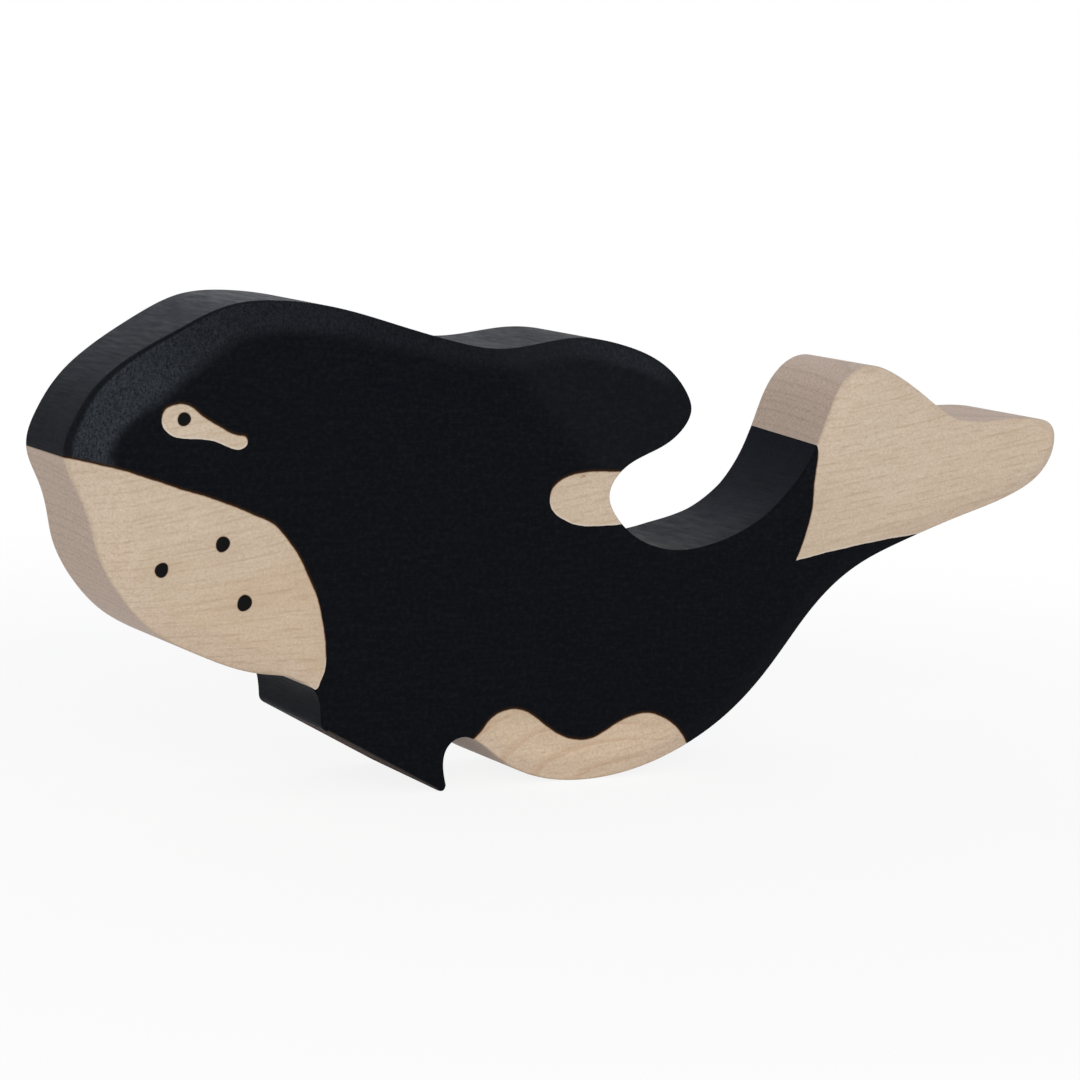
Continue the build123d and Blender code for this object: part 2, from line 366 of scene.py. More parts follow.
class Outline:
    def __init__(self):
        worked = sawOutline()
        self.points = worked[:, :2]
        self.depth = worked[:, 2]
        self.width = worked[:, 3]
        self.rubbed = worked[:, 4]
        self.sole = worked[:, 5]
        self.inward = squareTo(self.points, True)
        steps = np.hypot(*(np.roll(self.points, -1, axis=0) - self.points).T)
        self.along = np.concatenate([[0.0], np.cumsum(steps)])  # one more than the points
        share = self.depth / bevel["depth"]
        self.radius = bevel["edgeRadius"] + bevel["edgeRadiusOnBevel"] * share

    def nearest(self, places):
        # distance to the outline, and what the outline says at the nearest point
        start = self.points
        span = np.roll(self.points, -1, axis=0) - start
        size = (span ** 2).sum(1)
        found = {key: [] for key in ("away", "segment", "share")}
        for block in inBlocks(places):
            offset = block[:, None, :] - start[None]
            share = np.clip((offset * span).sum(2) / size, 0, 1)
            away = np.hypot(*np.moveaxis(offset - share[:, :, None] * span, 2, 0))
            segment = away.argmin(1)
            rows = np.arange(len(block))
            found["away"].append(away[rows, segment])
            found["segment"].append(segment)
            found["share"].append(share[rows, segment])
        away, segment, share = [np.concatenate(found[key]) for key in ("away", "segment", "share")]
        following = (segment + 1) % len(start)

        def blend(values):
            return values[segment] + (values[following] - values[segment]) * share

        inward = np.column_stack([blend(self.inward[:, 0]), blend(self.inward[:, 1])])
        inward /= np.hypot(*inward.T)[:, None]
        along = self.along[segment] + (self.along[segment + 1] - self.along[segment]) * share
        return {
            "away": away, "inward": inward, "along": along, "depth": blend(self.depth),
            "width": blend(self.width), "radius": blend(self.radius), "height": blend(self.points[:, 1]),
            "rubbed": blend(self.rubbed), "sole": blend(self.sole),
        }


def facetDrop(places):
    # how far the dorsal fin's facet lies under the flank, and its slope in the flank's plane
    start, end = toMillimetres([finFacet["lineStart"], finFacet["lineEnd"]])
    along = (end - start) / np.hypot(*(end - start))
    square = np.array([-along[1], along[0]])
    past = (places - start) @ square
    smooth = np.sqrt(past ** 2 + finFacet["softness"] ** 2)
    drop = finFacet["slope"] * (past + smooth) / 2
    slope = finFacet["slope"] * (1 + past / smooth) / 2
    above = places[:, 1] - finFacet["lowest"] * boardHeight
    before = finFacet["furthest"] * boardLength - places[:, 0]
    fade = np.clip(above / (finFacet["heightFade"] * boardHeight), 0, 1)
    fade *= np.clip(before / (finFacet["lengthFade"] * boardLength), 0, 1)
    return drop * fade, (slope * fade)[:, None] * square


def workedFlank(outline, places):
    # how deep the sanding goes at places on the flank, with the surface's slope
    near = outline.nearest(places)
    away = near["away"]
    facet, facetSlope = facetDrop(places)
    edgeFacet = facetDrop(places - near["inward"] * away[:, None])[0]
    deep = near["depth"] - bevel["edgeShare"] * near["radius"] - edgeFacet
    deep = np.maximum(deep, bevel["leastDepth"])
    reach = near["width"] * bevel["reach"]
    rest = np.clip(1 - away / reach, 0, 1)
    drop = deep * rest ** bevel["fall"]
    slope = -deep * bevel["fall"] * rest ** (bevel["fall"] - 1) / reach
    radius = near["radius"]
    into = np.clip(radius - away, 0, None)
    chord = np.sqrt(np.maximum(radius ** 2 - into ** 2, 1e-9))
    drop += radius - chord
    slope -= into / chord
    near["drop"] = drop + facet
    near["slope"] = slope[:, None] * near["inward"] + facetSlope
    near["rest"] = rest
    near["facet"] = facet
    return near


def clearOf(points, others, gap):
    return points[distanceTo(points, others) > gap]


def layPoints(outline, drawnLines):
    # points on the flank: rows along the edge, rows beside the paint lines, and an even field
    lay = flankMesh
    reach = outline.width * bevel["reach"]
    least = outline.radius * lay["bevelRowStart"]
    insets = [(outline.radius * share, 1) for share in lay["edgeRows"]]
    insets += [(np.maximum(reach * share, least), lay["bevelRowStep"]) for share in lay["bevelRows"]]
    rows = [(outline.points + outline.inward * inset[:, None])[::every] for inset, every in insets]
    wanted = np.concatenate([inset[::every] for inset, every in insets])
    edgeRows = np.concatenate(rows)
    keep = insidePolygon(edgeRows, outline.points)
    edgeRows, wanted = edgeRows[keep], wanted[keep]
    edgeRows = edgeRows[outline.nearest(edgeRows)["away"] > lay["rowSlack"] * wanted]

    drawn = np.concatenate(drawnLines)
    shifts = lay["besidePaint"]
    beside = np.concatenate([line + squareTo(line, False) * shift for line in drawnLines for shift in shifts])
    beside = beside[insidePolygon(beside, outline.points)]
    beside = beside[outline.nearest(beside)["away"] > lay["besideToEdge"]]

    spacing = lay["fieldSpacing"]
    columns = np.arange(-boardLength / 2, boardLength / 2, spacing)
    lines = np.arange(0, boardHeight, spacing * lay["fieldRows"])
    field = np.array([(x + spacing / 2 * (n % 2), z) for n, z in enumerate(lines) for x in columns])
    field = field[insidePolygon(field, outline.points)]
    field = field[outline.nearest(field)["away"] > lay["fieldToEdge"]]

    edgeRows = clearOf(edgeRows, drawn, lay["rowsToPaint"])
    beside = clearOf(beside, drawn, lay["besideToPaint"])
    beside = clearOf(beside, edgeRows, lay["besideToRows"])
    field = clearOf(field, np.concatenate([drawn, beside]), lay["fieldToPaint"])
    field = clearOf(field, edgeRows, lay["fieldToRows"])
    return np.concatenate([edgeRows, beside, field])


def cutFlank(outline, zoneLines, loose):
    # flat triangles of one flank with the outline and the paint lines as edges
    points = [outline.points]
    edges = []
    first = 0

    def addLine(line, closed):
        nonlocal first
        count = len(line)
        edges.extend((first + k, first + (k + 1) % count) for k in range(count if closed else count - 1))
        first += count

    addLine(outline.points, True)
    for line, closed in zoneLines:
        points.append(line)
        addLine(line, closed)
    points.append(loose)
    flat = [Vector(p) for p in np.concatenate(points)]
    cut = delaunay_2d_cdt(flat, edges, [], 0, flankMesh["mergeWithin"])
    places = np.array([tuple(p) for p in cut[0]])
    triangles = np.array([t for t in cut[2] if len(t) == 3])
    inside = insidePolygon(places[triangles].mean(1), outline.points)
    triangles = triangles[inside]
    used, triangles = np.unique(triangles, return_inverse=True)
    return places[used], triangles.reshape(-1, 3)


def clippedLines(lines, outline):
    # the stretch of each paint line that lies on the figure, with one point to spare at its ends
    kept = []
    for line in lines:
        inside = insidePolygon(line, outline.points)
        wider = inside.copy()
        wider[:-1] |= inside[1:]
        wider[1:] |= inside[:-1]
        where = np.flatnonzero(wider)
        for run in np.split(where, np.flatnonzero(np.diff(where) > 1) + 1):
            if len(run) > 1:
                kept.append(line[run])
    return kept


outline = Outline()
zonePolygons = {}
drawnLines = []
ringLines = []
for n, name in enumerate(paintLines):
    lines, polygon = paintZone(name, brush["seedStep"] * n + brush["firstSeed"])
    zonePolygons[name] = polygon
    if "ring" in paintLines[name]:
        ringLines.append(polygon)
    else:
        drawnLines += clippedLines(lines, outline)
pupilRings = [dotRing(dot, pupilDot) for dot in pupilDot["dots"]]
spotRings = [dotRing(dot, snoutSpots) for dot in snoutSpots["dots"]]
ringLines += pupilRings + spotRings
loosePoints = layPoints(outline, drawnLines + ringLines)
allLines = [(line, False) for line in drawnLines] + [(ring, True) for ring in ringLines]
flankPlaces, flankTriangles = cutFlank(outline, allLines, loosePoints)
print(f"flank of {len(flankPlaces)} points and {len(flankTriangles)} triangles")


def labelled(places):
    # what a spot on the flank or the rim is: wood, stain, pupil or spot
    bare = np.zeros(len(places), bool)
    for polygon in zonePolygons.values():
        bare |= insidePolygon(places, polygon)
    names = np.where(bare, "wood", "stain").astype(object)
    for rings, label in ((pupilRings, "pupil"), (spotRings, "spot")):
        for ring in rings:
            names[insidePolygon(places, ring)] = label
    return names


# Painted shade: a dark line along the snout's edge, standing in for the dark reflection on its rounded corner
paintedDarkLine = {
    "heights": (0.69, 0.76, 0.82, 0.88, 0.94, 1.0),  # shares of the height, up the snout
    "widths": (1.0, 0.9, 0.7, 0.55, 0.42, 0.3),  # mm
}
fringeReach = 0.6  # mm


def borderFringe(places):
    # 1 just above a bare patch, -1 just below one, 0 elsewhere
    lift = np.array([0, fringeReach])
    below = labelled(places - lift) != "stain"
    above = labelled(places + lift) != "stain"
    return below.astype(float) - above.astype(float)


# The border of the tail patch climbs this far on its way across the board, and the sole rises a little
tailLean = {"at": (0.2253, 0.700), "climb": 1.1, "reach": 8.0}  # share, mm, mm
soleLean = {"tip": (-0.1454, -0.008), "toe": (-0.2675, 0.146), "climb": 0.4, "reach": 4.0}  # shares, mm, mm


def leanAcross(places, inward):
    # shift, at the far flank, of the points near the tail patch's border and of those on the sole
    apart = np.hypot(*(places - toMillimetres([tailLean["at"]])[0]).T)
    near = np.clip(1 - apart / tailLean["reach"], 0, 1)
    along = np.column_stack([-inward[:, 1], inward[:, 0]])
    shift = along * (tailLean["climb"] * near ** 2 * (3 - 2 * near))[:, None]
    tip, toe = toMillimetres([soleLean["tip"], soleLean["toe"]])
    share = np.clip((places - tip) @ (toe - tip) / ((toe - tip) @ (toe - tip)), 0, 1)
    apart = np.hypot(*(places - tip - share[:, None] * (toe - tip)).T)
    shift[:, 1] += soleLean["climb"] * np.clip(1 - apart / soleLean["reach"], 0, 1)
    return shift


def borderEdges(faces):
    # the edges that one face alone has
    directed = {}
    for face in faces:
        directed.update(dict.fromkeys(zip(face, face[1:] + face[:1])))
    return [(a, b) for a, b in directed if (b, a) not in directed]


# Stained stretches of the rim, lowest first, and the fewest edges that make one
rimStains = {"names": ("flipper", "keel", "tail", "back"), "fewest": 12}
flankPieces = {"stain": "_flank_stain", "pupil": "_pupil", "spot": "_snout_spots"}


def flankOwner(side, label):
    return "maple_body" if label == "wood" else side + flankPieces[label]


def nameRim(middles, labels):
    # stained stretches of the rim, told apart by where they lie
    size = len(labels)
    stained = labels == "stain"
    owners = np.full(size, "maple_body", object)
    stretches = []
    for start in range(size):
        if not stained[start] or stained[start - 1]:
            continue
        run = []
        while stained[(start + len(run)) % size] and len(run) < size:
            run.append((start + len(run)) % size)
        stretches.append(run)
    stretches.sort(key=lambda run: middles[run, 1].mean())
    stretches = [run for run in stretches if len(run) > rimStains["fewest"]] or stretches
    for name, run in zip(rimStains["names"], stretches):
        owners[run] = name + "_edge_stain"
        print(f"{name} edge stain: {len(run)} edges of the rim")
    return owners


def wholeSkin():
    # both flanks and the sawn rim as one closed skin, each face with the name of the piece that owns it
    worked = workedFlank(outline, flankPlaces)
    count = len(flankPlaces)
    x, z = flankPlaces.T
    y = boardThickness / 2 - worked["drop"]

    following = dict(borderEdges(flankTriangles.tolist()))
    loop = [next(iter(following))]
    while following[loop[-1]] != loop[0]:
        loop.append(following[loop[-1]])
    loop = np.array(loop)
    worked["slope"][loop] = 0

    normals = np.column_stack([worked["slope"][:, 0], -np.ones(count), worked["slope"][:, 1]])
    outward = -worked["inward"][loop]
    normals[loop] = np.column_stack([outward[:, 0], np.zeros(len(loop)), outward[:, 1]])
    normals /= np.linalg.norm(normals, axis=1)[:, None]
    onRim = np.zeros(count)
    onRim[loop] = 1

    leanX, leanZ = leanAcross(flankPlaces, worked["inward"]).T
    places = [np.column_stack([x, -y, z]), np.column_stack([x + leanX, y, z + leanZ])]
    directions = [normals, normals * [1, -1, 1]]
    darkLineWidth = np.interp(worked["height"] / boardHeight, paintedDarkLine["heights"], paintedDarkLine["widths"])
    traits = {
        "fromEdge": worked["away"],
        "alongEdge": worked["along"],
        "fromPaint": distanceTo(flankPlaces, np.concatenate(drawnLines + ringLines)),
        "onRim": onRim,
        "bevelRest": worked["rest"],
        "bevelShare": worked["depth"] / bevel["depth"],
        "facet": worked["facet"],
        "fringe": borderFringe(flankPlaces),
        "rubbed": worked["rubbed"],
        "sole": worked["sole"],
        "soak": worked["away"] / darkLineWidth,
    }
    doubled = {key: [value, value] for key, value in traits.items()}
    rows = bevel["rimRows"]
    for row in range(1, rows):
        share = row / rows
        across = 2 * share - 1
        places.append(np.column_stack([x + leanX * share, across * y, z + leanZ * share])[loop])
        directions.append(normals[loop])
        for key, value in traits.items():
            doubled[key].append(value[loop])

    names = labelled(flankPlaces[flankTriangles].mean(1))
    faces = []
    owners = []
    for (a, b, c), name in zip(flankTriangles.tolist(), names):
        faces.append((a, b, c))
        owners.append(flankOwner("left", name))
        faces.append((c + count, b + count, a + count))
        owners.append(flankOwner("right", name))

    middles = (flankPlaces[loop] + flankPlaces[np.roll(loop, -1)]) / 2
    edgeOwner = nameRim(middles, labelled(middles))
    size = len(loop)
    for k in range(size):
        after = (k + 1) % size
        for row in range(rows):
            corners = []
            for index in (k, after):
                low = loop[index] if row == 0 else 2 * count + (row - 1) * size + index
                high = loop[index] + count if row == rows - 1 else 2 * count + row * size + index
                corners.append((int(low), int(high)))
            (aLow, aHigh), (bLow, bHigh) = corners
            faces.append((aLow, aHigh, bHigh, bLow))
            owners.append(edgeOwner[k])
    return {
        "places": np.concatenate(places),
        "normals": np.concatenate(directions),
        "faces": faces,
        "owners": owners,
        "traits": {key: np.concatenate(value) for key, value in doubled.items()},
    }


skin = wholeSkin()
print(f"skin of {len(skin['faces'])} faces")


def meshPiece(name, faces, places, normals, traits, material):
    # faces come as (corners, smooth): smooth ones take the worked normals, the others their own
    mesh = bpy.data.meshes.new(name)
    mesh.from_pydata((places * mm).tolist(), [], [corners for corners, smooth in faces])
    mesh.polygons.foreach_set("use_smooth", [True] * len(faces))
    for key, values in traits.items():
        mesh.attributes.new(key, "FLOAT", "POINT").data.foreach_set("value", values.astype(np.float32))
    cornerNormals = []
    for polygon, (corners, smooth) in zip(mesh.polygons, faces):
        if smooth:
            cornerNormals += [tuple(normals[corner]) for corner in corners]
        else:
            cornerNormals += [tuple(polygon.normal)] * len(corners)
    mesh.normals_split_custom_set(cornerNormals)
    mesh.materials.append(material)
    piece = bpy.data.objects.new(name, mesh)
    bpy.context.collection.objects.link(piece)
    return piece


def packed(faces, places, normals, traits):
    # drops the points that no face uses
    used = sorted({corner for corners, smooth in faces for corner in corners})
    place = {old: new for new, old in enumerate(used)}
    faces = [(tuple(place[corner] for corner in corners), smooth) for corners, smooth in faces]
    return faces, places[used], normals[used], {key: value[used] for key, value in traits.items()}


def layered(depth):
    # the skin's points, followed by the same points sunk into the wood
    sunk = skin["places"] - skin["normals"] * depth
    places = np.concatenate([skin["places"], sunk])
    normals = np.concatenate([skin["normals"], skin["normals"]])
    return places, normals, {key: np.concatenate([value, value]) for key, value in skin["traits"].items()}


def stainShell(name, material):
    # thin closed shell of stained wood: outer face, inner face and the walls between them
    count = len(skin["places"])
    outer = [face for face, owner in zip(skin["faces"], skin["owners"]) if owner == name]
    faces = [(face, True) for face in outer]
    faces += [(tuple(corner + count for corner in reversed(face)), False) for face in outer]
    faces += [((a + count, b + count, b, a), False) for a, b in borderEdges(outer)]
    return meshPiece(name, *packed(faces, *layered(coat["depth"])), material)


def mapleBody(name, material):
    # the bare wood at full height, the stained areas sunk by the coat, and walls where they meet
    count = len(skin["places"])
    bare = [face for face, owner in zip(skin["faces"], skin["owners"]) if owner == name]
    covered = [face for face, owner in zip(skin["faces"], skin["owners"]) if owner != name]
    faces = [(face, True) for face in bare]
    faces += [(tuple(corner + count for corner in face), True) for face in covered]
    faces += [((a + count, b + count, b, a), False) for a, b in borderEdges(bare)]
    return meshPiece(name, *packed(faces, *layered(coat["depth"] + coat["clearance"])), material)


bumpDepth = 0.0002  # metres between the low and the high of a fine bump
grainTilt = math.radians(10.0)  # the grain rises towards the tail


class Nodes:
    # short ways to add and join the nodes of one finish
    def __init__(self, tree):
        self.tree = tree

    def put(self, value, socket):
        # an output is joined to the socket, a number or a colour is set on it
        if isinstance(value, bpy.types.NodeSocket):
            self.tree.links.new(value, socket)
        else:
            socket.default_value = value

    def add(self, kind, inputs=None, **settings):
        made = self.tree.nodes.new(kind)
        for key, value in settings.items():
            setattr(made, key, value)
        for socket, value in (inputs or {}).items():
            self.put(value, made.inputs[socket])
        return made

    def calc(self, operation, first, second=0.0):
        return self.add("ShaderNodeMath", {0: first, 1: second}, operation=operation).outputs[0]

    def times(self, first, *others):
        for other in others:
            first = self.calc("MULTIPLY", first, other)
        return first

    def plus(self, first, *others):
        for other in others:
            first = self.calc("ADD", first, other)
        return first

    def minus(self, first, second):
        return self.calc("SUBTRACT", first, second)

    def vectorCalc(self, operation, first, second):
        return self.add("ShaderNodeVectorMath", {0: first, 1: second}, operation=operation).outputs[0]

    def length(self, vector):
        return self.add("ShaderNodeVectorMath", {0: vector}, operation="LENGTH").outputs["Value"]

    def split(self, vector):
        return self.add("ShaderNodeSeparateXYZ", {0: vector}).outputs

    def joined(self, parts):
        return self.add("ShaderNodeCombineXYZ", parts).outputs[0]

    def turned(self, vector, angle, scale=(1, 1, 1)):
        # scaled, then turned in the flank's plane
        inputs = {"Vector": vector, "Scale": scale, "Rotation": (0, angle, 0)}
        return self.add("ShaderNodeMapping", inputs).outputs[0]

    def ramp(self, value, span, to=(0.0, 1.0), kind="SMOOTHSTEP"):
        inputs = {"Value": value, "From Min": span[0], "From Max": span[1], "To Min": to[0], "To Max": to[1]}
        return self.add("ShaderNodeMapRange", inputs, interpolation_type=kind).outputs[0]

    def blend(self, factor, first, second):
        return self.add("ShaderNodeMix", {0: factor, 6: first, 7: second}, data_type="RGBA").outputs[2]

    def texture(self, vector, look):
        # noise, drawn out where its scale has a number for each way, and cut to a span where it has one
        scale = look["scale"]
        if isinstance(scale, tuple):
            vector = self.turned(vector, look.get("turn", 0.0), scale)
            scale = 1.0
        inputs = {"Vector": vector, "Scale": scale}
        inputs["Detail"] = look.get("detail", 2.0)
        inputs["Roughness"] = look.get("roughness", 0.5)
        made = self.add("ShaderNodeTexNoise", inputs).outputs["Fac"]
        return self.ramp(made, look["span"]) if "span" in look else made

    def trait(self, name):
        # a value that the mesh holds at its points
        return self.add("ShaderNodeAttribute", attribute_name=name).outputs["Fac"]

    def place(self):
        return self.add("ShaderNodeTexCoord").outputs["Object"]

    def awayFrom(self, spot):
        # distance from a spot, 1 at the ends of its half widths
        offset = self.vectorCalc("SUBTRACT", self.place(), spot["middle"])
        return self.length(self.vectorCalc("DIVIDE", offset, spot["size"]))

    def seenDirectly(self):
        # 1 for what the camera, a reflection or clear material shows, 0 for light that falls on a surface
        rays = self.add("ShaderNodeLightPath").outputs
        seen = self.calc("MAXIMUM", rays["Is Camera Ray"], rays["Is Glossy Ray"])
        return self.calc("MAXIMUM", seen, rays["Is Transmission Ray"])

    def dress(self, look, colour, roughness, height):
        # what varies is joined to the shader, and what is the same all over is set on it
        bump = self.add("ShaderNodeBump", {"Strength": look["bump"], "Distance": bumpDepth, "Height": height})
        values = {"Base Color": colour, "Roughness": roughness, "Normal": bump.outputs[0]}
        values["Specular IOR Level"] = look["gloss"]
        if "tint" in look:
            values["Specular Tint"] = look["tint"]
        for socket, value in values.items():
            self.put(value, self.tree.nodes["Principled BSDF"].inputs[socket])


def newFinish(name):
    material = bpy.data.materials.new(name)
    material.use_nodes = True
    return material, Nodes(material.node_tree)


# In the finishes, places and sizes are in metres and distances from an edge or a painted line in mm.
# A span is a pair of values between which something sets in, and a share is how much of it shows.
mapleFinish = {
    "flatGrain": 0.165,  # rise of the grain that is taken away low in the jaw
    "flatGrainMiddle": -0.062,
    "flatGrainHeights": (0.046, 0.020),
    "flatGrainEnds": (-0.040, -0.050),
    "pith": (0.006, -0.06),  # y and z of the tree's middle
    "ringGap": 0.0014,
    "ringWaver": {"scale": (7, 20, 20), "detail": 1.0},
    "ringWaverSize": 0.0025,
    "yearScale": 0.41,  # how soon wide and narrow years follow each other
    "yearSize": 2.2,
    "lateStart": (0.50, 0.92),  # shares of a year, at which its dark late wood comes and goes
    "lateEnd": (1.0, 0.94),
    "fibre": {"scale": (800, 2800, 2800), "detail": 3.0, "roughness": 0.65},
    "mottle": {"scale": 2300, "detail": 3.0, "roughness": 0.8, "span": (0.28, 0.72)},
    "broad": {"scale": (40, 120, 120), "detail": 6.0, "roughness": 0.68, "span": (0.30, 0.70)},
    "light": (0.640, 0.545, 0.438, 1),
    "warm": (0.590, 0.460, 0.326, 1),
    "warmHeights": (0.062, 0.023),  # pale above and warm below
    "warmShare": 0.5,
    # painted bounce light from the floor: the wood paler toward the bottom edge
    "paintedBounceLight": (0.722, 0.566, 0.412, 1),
    "paintedBounceHeights": (0.016, 0.006),
    "blush": {"middle": (-0.0600, 0.0, 0.0300), "size": (0.020, 0.040, 0.014)},  # warmer wood in the jaw
    "blushSpan": (1.0, 0.1),
    "blushBroad": (-0.8, 1.6),
    "blushColour": (0.585, 0.425, 0.285, 1),
    # paler and pinker on the bevels: painted highlight, with the sanded wood's own tone
    "sandedBevelHighlight": (0.640, 0.520, 0.420, 1),
    "bevelHighlightSpan": (0.05, 0.5),
    "bevelShare": 0.5,
    "ringLine": (0.405, 0.272, 0.168, 1),
    "ringDash": {"scale": (300, 1700, 1700), "span": (0.38, 0.66)},  # breaks the growth lines
    "ringShare": 0.50,
    "fleck": (0.430, 0.318, 0.220, 1),
    "fleckSpan": (0.50, 0.70),
    "fleckShare": 0.28,
    "mottleShare": 0.52,
    "band": {"scale": (110, 1250, 1250), "detail": 3.0, "roughness": 0.6, "span": (0.36, 0.66)},
    "bandShare": 0.15,
    "sawn": (0.606, 0.468, 0.382, 1),  # across the fibres, on the rim
    "sawnPore": (0.358, 0.264, 0.209, 1),
    "poreMottle": 0.75,
    "poreLate": 0.2,
    "sawnShare": 0.9,
    "bleed": (0.16, 0.072, 0.028, 1),  # stain that crept past a painted line
    "bleedReach": (0.24, 0.02),
    "bleedFringe": (-0.6, 0.8),
    "bleedShare": 0.8,
    "hazeReach": (3.4, 1.2),  # fleck colour that greys the wood beside the stain
    "hazeOffRim": (0.6, 0.0),
    "hazeShare": 0.12,
    "pale": (0.640, 0.575, 0.500, 1),
    "paleReach": (0.45, 0.12),
    "paleFringe": (-0.1, -0.9),
    "paleShare": 0.5,
    "streak": {"middle": (-0.0041, -0.0125, 0.0523), "size": (0.0009, 0.002, 0.0005)},  # in the saddle patch
    "streakSpan": (1.0, 0.3),
    "streakFibre": (0.35, 0.6),
    "streakColour": (0.34, 0.215, 0.130, 1),
    "roughness": (-1.05, 1.8),
    "gloss": 0.18,
    "bump": 0.12,
    "bumpLate": -0.4,
}
# Growth rings that the saw met flat show in the belly patch as a few arcs, one inside the other
bellyArc = {
    "turn": -0.466,  # radians, the way in which the arcs follow each other
    "start": (-0.0088, -0.0035),  # along and across that way, tip of one arc
    "opening": 80.0,  # per metre, how fast an arc opens
    "gap": 0.0071,
    "waver": {"scale": 140},
    "waverSize": 0.0016,
    "lineStart": (0.70, 1.0),  # shares of the gap, at which a line comes and goes
    "lineEnd": (0.06, 0.0),
    "patch": {"middle": (-0.0070, 0.0, 0.0065), "size": (0.022, 0.040, 0.0095)},
    "patchSpan": (1.1, 0.75),
    "dashSpan": (-1.6, 1.4),
    "share": 0.56,
    "colour": (0.480, 0.285, 0.165, 1),
    "calm": 0.7,  # share of the fine growth lines that fades among the arcs
}


def jawGrain(nodes):
    # tilted grain, which lies flatter low in the jaw
    look = mapleFinish
    place = nodes.place()
    parts = nodes.split(place)
    low = nodes.ramp(parts["Z"], look["flatGrainHeights"])
    inJaw = nodes.ramp(parts["X"], look["flatGrainEnds"])
    along = nodes.minus(parts["X"], look["flatGrainMiddle"])
    rise = nodes.times(along, look["flatGrain"], nodes.times(low, inJaw))
    return nodes.vectorCalc("ADD", nodes.turned(place, grainTilt), nodes.joined({"Z": rise}))


def lateWood(nodes, grain):
    # dark end of each year, counted outwards from the pith
    look = mapleFinish
    parts = nodes.split(grain)
    spoke = {key: nodes.minus(parts[key], pith) for key, pith in zip("YZ", look["pith"])}
    waver = nodes.times(nodes.texture(grain, look["ringWaver"]), look["ringWaverSize"])
    years = nodes.calc("DIVIDE", nodes.plus(nodes.length(nodes.joined(spoke)), waver), look["ringGap"])
    inputs = {"W": years, "Scale": look["yearScale"]}
    uneven = nodes.add("ShaderNodeTexNoise", inputs, noise_dimensions="1D").outputs["Fac"]
    phase = nodes.calc("FRACT", nodes.plus(years, nodes.times(uneven, look["yearSize"])))
    return nodes.times(nodes.ramp(phase, look["lateStart"]), nodes.ramp(phase, look["lateEnd"]))


def bellyArcs(nodes, dash):
    # how dark the arcs are, and where they lie
    arc = bellyArc
    parts = nodes.split(nodes.turned(nodes.place(), arc["turn"]))
    across = nodes.minus(parts["Z"], arc["start"][1])
    opened = nodes.times(nodes.calc("POWER", across, 2.0), arc["opening"])
    along = nodes.minus(nodes.minus(parts["X"], opened), arc["start"][0])
    waver = nodes.times(nodes.texture(nodes.place(), arc["waver"]), arc["waverSize"])
    phase = nodes.calc("FRACT", nodes.calc("DIVIDE", nodes.plus(along, waver), arc["gap"]))
    line = nodes.calc("MAXIMUM", nodes.ramp(phase, arc["lineStart"]), nodes.ramp(phase, arc["lineEnd"]))
    amongArcs = nodes.ramp(nodes.awayFrom(arc["patch"]), arc["patchSpan"])
    shown = nodes.times(amongArcs, nodes.ramp(dash, arc["dashSpan"]))
    return nodes.times(line, shown, arc["share"]), amongArcs


